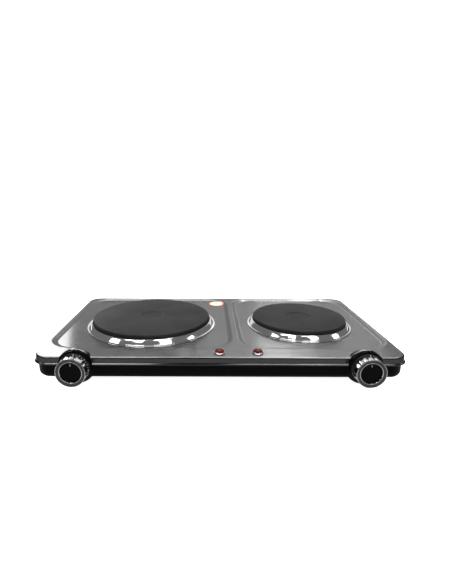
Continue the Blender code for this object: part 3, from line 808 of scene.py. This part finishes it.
def tray():
    """The black base with its holes, slots, bezel pads and screw bosses."""
    black = LOOKS["black_tray"]
    bm = bmesh.new()
    skin(bm, body_rows(tray_steps(0.0, -BODY_HEIGHT, TRAY_FILLET, TRAY_TOP)))
    shell = build("tray_shell", bm, black)
    pads = bmesh.new()
    pad_profile = eased([(PAD_RADIUS, 5.0), (PAD_RADIUS - 0.3, 2.0), (22.0, 0.4),
                         (BEZEL_RADIUS - 0.1, -0.9)], 0.8)
    for knob_x in KNOBS.values():
        add_turned(pads, pad_profile, (knob_x, KNOB_Z), "Y", 72)
    pad = build("tray_pads", pads, black)
    boolean(pad, box_tool((-300, -30, -RIM_HEIGHT - 0.4), (300, 30, 40), black))
    settle(pad)
    boolean(shell, pad, "UNION")
    bm = bmesh.new()
    skin(bm, body_rows(tray_steps(TRAY_WALL, FLOOR, TRAY_FILLET - TRAY_WALL, TRAY_TOP + 3)))
    boolean(shell, build("tray_room", bm, black))
    low = -BODY_HEIGHT - 6
    shafts = [(knob_x, KNOB_Z) for knob_x in KNOBS.values()]
    boolean(shell, pins_tool(shafts, SHAFT_HOLE, -9, 12, black, "Y"))
    pins = [(knob_x + across, PIN_HEIGHT) for knob_x in KNOBS.values()
            for across in (-PIN_ACROSS, PIN_ACROSS)]
    boolean(shell, pins_tool(pins, PIN_RADIUS + 0.4, -9, 12, black, "Y", 16))
    gland = measure("cord_gland")[0]
    boolean(shell, pins_tool([(gland.x, gland.z)], 5.0, DEPTH - 12, DEPTH + 6, black, "Y"))
    feet, screws = ([tuple(measure(corner + kind)[0])[:2] for corner in CORNERS]
                    for kind in ("_foot", "_screw"))
    boolean(shell, pins_tool(feet, 3.1, low, -20, black, steps=16))
    boolean(shell, pins_tool(screws, 4.0, low, -27, black, steps=24))
    slots = bmesh.new()
    for x, y, radius, _, _ in PLATES.values():
        for i in range(SLOTS):
            middle = y + SLOT_PITCH * (i - (SLOTS - 1) / 2)
            loop = rounded_loop(x - radius / 2, x + radius / 2, middle - SLOT_HALF, middle + SLOT_HALF,
                                SLOT_HALF - 0.01, 6)
            skin(slots, [[place(px, py, z) for px, py in loop] for z in (low, -26)])
    boolean(shell, build("tray_slots", slots, black))
    settle(shell)
    finish_piece(shell, HOUSING, "black_tray", "base_tray")
    bosses = bmesh.new()
    boss = eased([(4.2, FLOOR + 0.02), (5.4, FLOOR + 0.02), (4.9, -7.6), (SCREW_BORE, -7.6),
                  (SCREW_BORE, -27.0), (4.2, -27.0)], 0.3, closed=True)
    for spot in screws:
        add_turned(bosses, boss, spot, steps=24, closed=True)
    finish_piece(build("tray_screw_bosses", bosses, black), HOUSING, "black_tray")


# ---- plates and their rings
DISH = 0.9                     # depth of the shallow dish in a plate's middle
DISH_RADIUS = 17.0
STUD_BORE = 3.4


def plate(size):
    """A cast-iron plate with its shallow dish, and the chrome ring round it."""
    x, y, radius, ring, top = PLATES[size]
    under = datum(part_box(size + "_hot_plate")[0]).z
    profile = eased([(0.01, top - DISH), (DISH_RADIUS, top - DISH), (DISH_RADIUS + 1.6, top),
                     (radius - 1.3, top), (radius, top - 1.4), (radius, under), (radius - 6, under),
                     (radius - 7.5, 3.6), (12, 3.6), (10, -1.4), (STUD_BORE, -1.4), (STUD_BORE, 3.0),
                     (0.01, 3.0)], 0.7)
    casting = turned(size + "_plate_casting", profile, (x, y), PLATE_LOOKS[size], steps=144)
    finish_piece(casting, HOUSING, "cast_iron_plate", size + "_hot_plate")
    inner = radius + 0.6
    trim = eased([(ring, -2.2), (ring, -1.6), (ring - 0.8, -1.15), (ring - 2.6, -0.95),
                  (ring - 3.3, 0.2), (ring - 4.6, 2.35), (ring - 5.9, 4.3), (ring - 6.8, 5.35),
                  (ring - 7.6, 5.9), (inner, 5.2), (inner, -4.6), (inner + 0.7, -4.6),
                  (inner + 0.7, 4.2), (ring - 6.5, 3.9), (ring - 3.3, -1.6), (ring - 1.0, -1.8)],
                 0.9, 4, closed=True)
    rolled = turned(size + "_rolled_ring", trim, (x, y), LOOKS["chrome_trim"], steps=160, closed=True)
    finish_piece(rolled, HOUSING, "chrome_trim", size + "_trim_ring")


# ---- knobs
FLUTES = 16
FLUTE_DEPTH = 0.9
GRIP_BORE = 13.3
CORE_RADIUS = 13.0
SKIRT_REAR = -4.9
SKIRT_FRONT_RADIUS = 18.0
SKIRT_REAR_RADIUS = 19.6
SKIRT_REAR_EDGE = -5.6
CORE_FACE = KNOB_FRONT + 2.4
TICKS = 21                     # every fourth one is long
FIRST_TICK = math.radians(4)
TICK_STEP = math.radians(11.5)
FIGURE_HEIGHT = 2.6


def flute(radius, along, angle):
    """Scalloped grip: round at its front edge, with hollows between ribs behind it."""
    if radius < GRIP_RADIUS - 0.3 or along < KNOB_FRONT + 1.2:
        return radius
    depth = min((along - KNOB_FRONT - 1.2) / 0.8, 1.0) * FLUTE_DEPTH
    return radius - depth * (0.5 - 0.5 * math.cos(FLUTES * angle)) ** 0.7


def on_skirt(turn, up, proud):
    """A point on the dial skirt's cone: turn clockwise from the top, up the slant from its front."""
    low = Vector((SKIRT_FRONT_RADIUS, GRIP_REAR + 0.6))
    high = Vector((SKIRT_REAR_RADIUS, SKIRT_REAR_EDGE))
    slant = (high - low).normalized()
    outward = Vector((slant.y, -slant.x))
    radius, along = low + slant * up + outward * proud
    return radius * math.sin(turn), along, radius * math.cos(turn)


def skirt_marks(side, x):
    """Ticks and the numbers 1 to 5 round the dial skirt."""
    bm = bmesh.new()
    for i in range(TICKS):
        turn = FIRST_TICK + TICK_STEP * i
        wide = 0.014 if i % 4 else 0.028
        reach = 1.2 if i % 4 else 1.8
        corners = [(turn - wide, 0.25), (turn + wide, 0.25), (turn + wide, reach), (turn - wide, reach)]
        rows = []
        for proud in (-0.05, 0.07):
            row = []
            for t, up in corners:
                px, py, pz = on_skirt(t, up, proud)
                row.append(place(x + px, py, KNOB_Z + pz))
            rows.append(row)
        skin(bm, rows)
    for number in range(1, 6):
        add_number(bm, str(number), x, FIRST_TICK + TICK_STEP * (4 * number - 2))
    marks = build(side + "_dial_marks", bm, MARKS, flat=True)
    finish_piece(marks, side + "_knob", "dial_grey")


def add_number(bm, text, x, turn):
    """A small figure wrapped onto the skirt."""
    curve = bpy.data.curves.new("figure", "FONT")
    curve.body = text
    curve.align_x = "CENTER"
    curve.size = FIGURE_HEIGHT
    curve.extrude = 0.06
    curve.resolution_u = 3
    figure = bpy.data.objects.new("figure", curve)
    bpy.context.scene.collection.objects.link(figure)
    bpy.context.view_layer.update()
    mesh = bpy.data.meshes.new_from_object(figure.evaluated_get(bpy.context.evaluated_depsgraph_get()))
    verts = []
    for vert in mesh.vertices:
        across, up, proud = vert.co
        px, py, pz = on_skirt(turn + across / SKIRT_FRONT_RADIUS, FIGURE_HEIGHT - up, proud)
        verts.append(bm.verts.new(place(x + px, py, KNOB_Z + pz)))
    for face in mesh.polygons:
        bm.faces.new([verts[i] for i in face.vertices])
    bpy.data.objects.remove(figure, do_unlink=True)
    bpy.data.meshes.remove(mesh)


def knob(side):
    """A knob: chrome grip ring, black core with a pointer, and the dial skirt behind them."""
    x = KNOBS[side]
    body = side + "_knob"
    spot = (x, KNOB_Z)
    black = LOOKS["black_plastic"]
    front, rim = KNOB_FRONT, GRIP_RADIUS
    split = front + 1.3
    # two chrome beads with a band of the same chrome between them, painted near black as painted shade,
    # then the fluted grip
    beads = eased([(GRIP_BORE, split), (GRIP_BORE, front + 1.0), (GRIP_BORE + 0.3, front + 0.6),
                   (14.1, front + 0.6), (14.4, front + 0.8), (14.5, split - 0.2),
                   (rim - 0.9, split - 0.2), (rim - 0.8, front + 0.2), (rim - 0.5, front),
                   (rim - 0.1, front + 0.2), (rim, front + 0.7), (rim, split)], 0.25, closed=True)
    made = turned(side + "_grip_beads", beads, spot, BEAD_CHROME_PAINTED_SHADE, "Y", 144, True)
    finish_piece(made, body, "chrome_trim")
    grip = eased([(GRIP_BORE, GRIP_REAR), (GRIP_BORE, split), (rim - 0.1, split), (rim, split + 0.5),
                  (rim, split + 1.8), (rim, GRIP_REAR)], 0.3, closed=True)
    made = turned(side + "_fluted_grip", grip, spot, GRIP_CHROME, "Y", FLUTES * 12, True, flute, 40.0)
    finish_piece(made, body, "chrome_trim", side + "_grip_ring")
    band = eased([(14.45, split - 0.15), (14.45, front + 0.7), (15.7, front + 0.5),
                  (rim - 0.85, front + 0.35), (rim - 0.85, split - 0.15)], 0.15, closed=True)
    made = turned(side + "_grip_band", band, spot, BAND_CHROME_PAINTED_SHADE, "Y", 96, True)
    finish_piece(made, body, "chrome_trim")
    core = eased([(0.01, CORE_FACE + 0.5), (9.2, CORE_FACE + 0.35), (CORE_RADIUS - 1.2, CORE_FACE),
                  (CORE_RADIUS - 0.6, CORE_FACE), (CORE_RADIUS, CORE_FACE + 0.7), (CORE_RADIUS, -5.2),
                  (3.3, -5.2), (3.3, -14.7), (0.01, -14.7)], 0.35)
    made = turned(side + "_knob_cap", core, spot, black, "Y", 96)
    finish_piece(made, body, "black_plastic", side + "_knob_core")
    skirt = eased([(GRIP_BORE, SKIRT_REAR), (GRIP_BORE, GRIP_REAR + 0.3),
                   (SKIRT_FRONT_RADIUS - 0.4, GRIP_REAR + 0.3), (SKIRT_FRONT_RADIUS, GRIP_REAR + 0.6),
                   (SKIRT_REAR_RADIUS, SKIRT_REAR_EDGE), (SKIRT_REAR_RADIUS, SKIRT_REAR)],
                  0.12, closed=True)
    made = turned(side + "_dial", skirt, spot, LOOKS["dial_grey"], "Y", 128, True)
    finish_piece(made, body, "dial_grey", side + "_dial_skirt")
    bm = bmesh.new()
    loop = rounded_loop(x - 0.5, x + 0.5, KNOB_Z + 8.0, KNOB_Z + 11.0, 0.49, 5)
    skin(bm, [[place(px, y, pz) for px, pz in loop] for y in (CORE_FACE + 0.45, CORE_FACE + 0.08)])
    finish_piece(build(side + "_knob_pointer", bm, POINTER), body, "dial_grey")
    skirt_marks(side, x)


def bezel(side):
    """The black disc behind a knob, with a nub on top, two pins and the shaft's hole."""
    x = KNOBS[side]
    black = LOOKS["black_plastic"]
    spot = (x, KNOB_Z)
    profile = eased([(0.01, BEZEL_FRONT), (20.0, BEZEL_FRONT), (21.2, -3.9), (BEZEL_RADIUS, -3.0),
                     (BEZEL_RADIUS, -1.2), (0.01, -1.2)], 0.5)
    disc = turned(side + "_bezel_disc", profile, spot, black, "Y", 96)
    plug = pins_tool([spot], BEZEL_RADIUS - 0.15, -2.0, 2.0, black, "Y", 96)
    boolean(plug, box_tool((x - 40, -10, -60), (x + 40, 10, -RIM_HEIGHT + 0.2), black))
    settle(plug)
    boolean(disc, plug, "UNION")
    tip = KNOB_Z + BEZEL_RADIUS
    bm = bmesh.new()
    nub = eased([(x - 2.4, tip - 1.2), (x + 2.4, tip - 1.2), (x, tip + 1.9)], 0.5, closed=True)
    skin(bm, [[place(px, y, pz) for px, pz in nub] for y in (-3.9, -1.6)])
    boolean(disc, build("tool", bm, black), "UNION")
    pins = [(x - PIN_ACROSS, PIN_HEIGHT), (x + PIN_ACROSS, PIN_HEIGHT)]
    boolean(disc, pins_tool(pins, PIN_RADIUS, -2.0, 4.6, black, "Y", 16), "UNION")
    boolean(disc, pins_tool([spot], SHAFT_HOLE, -9, 9, black, "Y"))
    settle(disc)
    finish_piece(disc, HOUSING, "black_plastic", side + "_bezel")


# ---- pilot lights
def pilot_light(side):
    """A red faceted lens in a chrome ring."""
    middle, half = measure(side + "_light_bezel")
    spot = (middle.x, middle.y)
    reach = half.x
    ring = eased([(5.5, -6.0), (5.9, -6.0), (5.9, 0.1), (reach, 0.1), (reach + 0.1, 0.9),
                  (reach, 2.1), (reach - 0.35, 2.7), (reach - 0.7, 2.2), (reach - 0.8, 1.0), (5.5, 1.0)],
                 0.3, closed=True)
    made = turned(side + "_light_ring", ring, spot, LOOKS["chrome_trim"], steps=64, closed=True)
    finish_piece(made, HOUSING, "chrome_trim", side + "_light_bezel")
    wide = measure(side + "_light_lens")[1].x
    bm = bmesh.new()
    rings = ((5.0, -5.0, 24, 0.0), (5.1, 1.3, 24, 0.0), (wide, 1.4, 24, 0.0), (wide, 2.9, 12, 0.0),
             (wide * 0.8, 4.8, 12, 0.5), (wide * 0.42, 5.8, 6, 0.0), (wide * 0.15, 6.0, 6, 0.5))
    for radius, z, count, phase in rings:
        for i in range(count):
            angle = 2 * math.pi * (i + phase) / count
            x = spot[0] + radius * math.cos(angle)
            bm.verts.new(place(x, spot[1] + radius * math.sin(angle), z))
    hull = bmesh.ops.convex_hull(bm, input=bm.verts)
    inside = [item for item in hull["geom_interior"] if isinstance(item, bmesh.types.BMVert)]
    bmesh.ops.delete(bm, geom=inside, context="VERTS")
    finish_piece(build(side + "_faceted_lens", bm, LOOKS["red_lens"], flat=True),
                 HOUSING, "red_lens", side + "_light_lens")


# ---- label, feet, screws, gland
def label():
    """A thin round sticker that follows the sheet under it."""
    x, y = LABEL_CENTRE
    rows = []
    for lift, shares in ((0.05, range(1, 9)), (0.3, range(8, 0, -1))):
        for share in (number / 8 for number in shares):
            row = []
            for i in range(64):
                angle = 2 * math.pi * i / 64
                px = x + LABEL_RADIUS * share * math.cos(angle)
                py = y + LABEL_RADIUS * share * math.sin(angle)
                row.append(place(px, py, sheet_height(px, py) + lift))
            rows.append(row)
    bm = bmesh.new()
    skin(bm, rows)
    sticker = build("round_sticker", bm, LOOKS["label"], 60.0)
    finish_piece(sticker, HOUSING, "label", "round_label")


def foot(name):
    """A rubber foot, held by a barb through the tray."""
    middle, half = measure(name)
    low = middle.z - half.z
    top = -BODY_HEIGHT - 0.3
    profile = eased([(0.01, low + 1.2), (4.5, low + 1.2), (5.6, low), (8.4, low), (9.4, low + 1.0),
                     (9.7, low + 4.0), (9.2, low + 4.8), (9.9, low + 5.6), (10.6, top), (2.7, top),
                     (2.7, FLOOR + 0.3), (3.9, FLOOR + 0.3), (2.4, FLOOR + 2.6),
                     (0.01, FLOOR + 2.6)], 0.4)
    made = turned(name + "_rubber", profile, (middle.x, middle.y), LOOKS["foot_rubber"], steps=64)
    finish_piece(made, HOUSING, "foot_rubber", name)


def screw(name):
    """A cross-head screw, driven from below into the tray's boss."""
    middle, half = measure(name)
    head = middle.z - half.z
    zinc = LOOKS["zinc_steel"]
    profile = eased([(0.01, head), (2.6, head + 0.1), (3.6, head + 0.9), (3.6, -28.3), (1.75, -28.3),
                     (1.75, -5.4), (1.1, -4.6), (0.01, -4.6)], 0.25)
    made = turned(name + "_cross_head", profile, (middle.x, middle.y), zinc, steps=48)
    for across, along in ((1.9, 0.35), (0.35, 1.9)):
        boolean(made, box_tool((middle.x - across, middle.y - along, head - 1),
                               (middle.x + across, middle.y + along, head + 1.1), zinc))
    settle(made)
    finish_piece(made, HOUSING, "zinc_steel", name)


def gland():
    """The black collar in the rear wall that a mains cord goes through."""
    middle, half = measure("cord_gland")
    rear = middle.y + half.y
    wall = DEPTH - TRAY_INSET
    inner = wall - TRAY_WALL
    profile = eased([(3.6, rear), (5.4, rear), (5.9, rear - 0.9), (5.5, rear - 1.5), (6.1, rear - 2.1),
                     (6.6, wall + 0.3), (4.7, wall + 0.3), (4.7, inner - 0.3), (6.0, inner - 0.3),
                     (6.0, inner - 2.2), (3.6, inner - 2.2)], 0.25, closed=True)
    made = turned("ribbed_gland", profile, (middle.x, middle.z), LOOKS["black_plastic"], "Y", 64, True)
    finish_piece(made, HOUSING, "black_plastic", "cord_gland")


def carried_over():
    """CAD nodes that stay get their slot's material."""
    for part in frame["record"]["subparts"]:
        node = frame["nodes"][part["node"]]
        node.data.materials.clear()
        node.data.materials.append(LOOKS[part["material_slot"]])


# ---- studio
CAMERA_PITCH = 14.253
CAMERA_ROLL = -0.2
CAMERA_LENS = 24.154
CAMERA_SHIFT = 0.0407
CAMERA_SPOT = (-18.2, -445.4, 203.4)
WHITE = 1.06                   # radiance of the sky behind the object
GREY = 0.22                    # and everywhere else
WHITE_SIDES = (34.5, 38.0)     # the white fades out between these azimuths, in degrees
WHITE_TOP = (0.385, 0.44)      # and between these sines of the elevation
LIGHTS_AWAY = 6.0              # metres from the object to every light
BOX = 7.0                      # radiance of the boxes that show in the trim rings
FLOOR_HALF = 4.0


def camera():
    data = bpy.data.cameras.new("camera")
    data.lens = CAMERA_LENS
    data.shift_x = CAMERA_SHIFT
    data.clip_start = 0.01
    made = bpy.data.objects.new("camera", data)
    made.location = place(*CAMERA_SPOT)
    made.rotation_euler = (math.radians(90 - CAMERA_PITCH), math.radians(CAMERA_ROLL), 0)
    bpy.context.scene.collection.objects.link(made)
    bpy.context.scene.camera = made


def span(degrees):
    """Width in metres of a light that spans this angle, seen from the object."""
    return 2 * LIGHTS_AWAY * math.tan(math.radians(degrees / 2))


def area_light(name, wide, high, radiance):
    data = bpy.data.lights.new(name, "AREA")
    data.shape = "RECTANGLE"
    data.size = wide
    data.size_y = high
    data.energy = radiance * math.pi * data.size * data.size_y
    made = bpy.data.objects.new(name, data)
    bpy.context.scene.collection.objects.link(made)
    return made


def softbox(name, azimuth, elevation, wide, high, radiance):
    """A rectangular light facing the object. Azimuth runs clockwise from straight behind the object;
    all four angles are in degrees."""
    turn, rise = math.radians(azimuth), math.radians(elevation)
    made = area_light(name, span(wide), span(high), radiance)
    made.location = (LIGHTS_AWAY * math.sin(turn) * math.cos(rise),
                     LIGHTS_AWAY * math.cos(turn) * math.cos(rise), LIGHTS_AWAY * math.sin(rise))
    made.rotation_euler = (-made.location).to_track_quat("-Z", "Y").to_euler()


def level_panel(name, left, right, elevation, high, radiance, passing=None):
    """A rectangular light that turns about the x axis only, so that its side edges stay straight in the
    brushed top. left and right are in metres. The elevation runs from the horizon behind the object up
    over it, in degrees. It doesn't light the pieces whose names end with passing."""
    rise = math.radians(elevation)
    made = area_light(name, right - left, span(high), radiance)
    made.location = ((left + right) / 2, LIGHTS_AWAY * math.cos(rise), LIGHTS_AWAY * math.sin(rise))
    made.rotation_euler = (-math.radians(90 - elevation), 0, 0)
    if passing:
        spared = bpy.data.collections.new(name + "_spares")
        for piece in bpy.data.objects:
            if piece.name.endswith(passing):
                spared.objects.link(piece)
        for link in spared.collection_objects:
            link.light_linking.link_state = "EXCLUDE"
        made.light_linking.receiver_collection = spared


def lights():
    # left rear: its mirror image whitens the front left corner of the top
    level_panel("left_rear_panel", -3.7, -2.35, 24.0, 34.0, 7.2, passing="rolled_ring")
    # dim and broad behind: the middle and the right of the top are lighter than the left
    level_panel("rear_haze", -0.2, 3.0, 32.0, 26.0, 0.8)
    # narrow, straight behind: its image fills the slope along the left side of the large panel
    level_panel("rear_post", -0.52, -0.28, 31.0, 12.0, 1.5)
    # high behind: the bright line along the bent front edge
    level_panel("rear_line", -4.0, 5.0, 72.0, 22.0, 6.5, passing="rolled_ring")
    # high behind the viewer: the bright line along the lip, dark for a stretch left of its middle
    level_panel("front_line_left", -4.0, -0.85, 118.0, 8.0, 18.0)
    level_panel("front_line_right", 0.4, 2.0, 118.0, 8.0, 14.0)
    # high behind: the broad streak in the front border and the narrow one in front of the small plate
    level_panel("rear_panel", 0.85, 1.42, 40.0, 16.0, 5.6, passing="rolled_ring")
    level_panel("rear_strip", 1.45, 1.75, 54.0, 12.0, 14.0, passing="rolled_ring")
    # the boxes at the sides and behind the viewer that the trim rings show as patches
    softbox("left_box", -112.0, 30.0, 14.0, 16.0, BOX)
    softbox("back_left_box", -155.0, 48.0, 12.0, 12.0, BOX)
    softbox("back_right_box", 148.0, 44.0, 16.0, 16.0, BOX)
    softbox("high_box", 115.0, 68.0, 10.0, 8.0, BOX)
    softbox("right_box", 96.0, 24.0, 11.0, 14.0, BOX)
    # straight above, it lights the floor and the tops of the knobs
    softbox("top_box", 0.0, 84.0, 30.0, 16.0, 1.4)


def world():
    """White where the view looks past the object, grey at the sides, above and behind the viewer."""
    made = bpy.data.worlds.new("studio")
    bpy.context.scene.world = made
    sky = Tree(made)
    axes = sky.add("ShaderNodeSeparateXYZ")
    sky.links.new(sky.add("ShaderNodeTexCoord").outputs["Generated"], axes.inputs["Vector"])
    azimuth = sky.math("ABSOLUTE", sky.math("ARCTAN2", axes.outputs["X"], axes.outputs["Y"]))
    ahead = sky.spread(azimuth, 1.0, 0.0, *(math.radians(side) for side in WHITE_SIDES))
    low = sky.spread(axes.outputs["Z"], 1.0, 0.0, *WHITE_TOP)
    white = sky.math("MULTIPLY", ahead, low)
    strength = sky.math("ADD", sky.math("MULTIPLY", white, WHITE - GREY), GREY)
    background = sky.nodes["Background"]
    sky.links.new(strength, background.inputs["Strength"])
    background.inputs["Color"].default_value = (1, 1, 1, 1)


def floor():
    bm = bmesh.new()
    for x, y in ((-1, -1), (1, -1), (1, 1), (-1, 1)):
        bm.verts.new((x * FLOOR_HALF, y * FLOOR_HALF, 0.0))
    bm.faces.new(bm.verts)
    made = build("studio_floor", bm, studio_floor())


bpy.context.scene.view_settings.view_transform = "Standard"
camera()
carried_over()
top_sheet()
tray()
for size in SIZES:
    plate(size)
for side in SIDES:
    bezel(side)
    knob(side)
    pilot_light(side)
label()
for corner in CORNERS:
    foot(corner + "_foot")
    screw(corner + "_screw")
gland()
floor()
lights()
world()
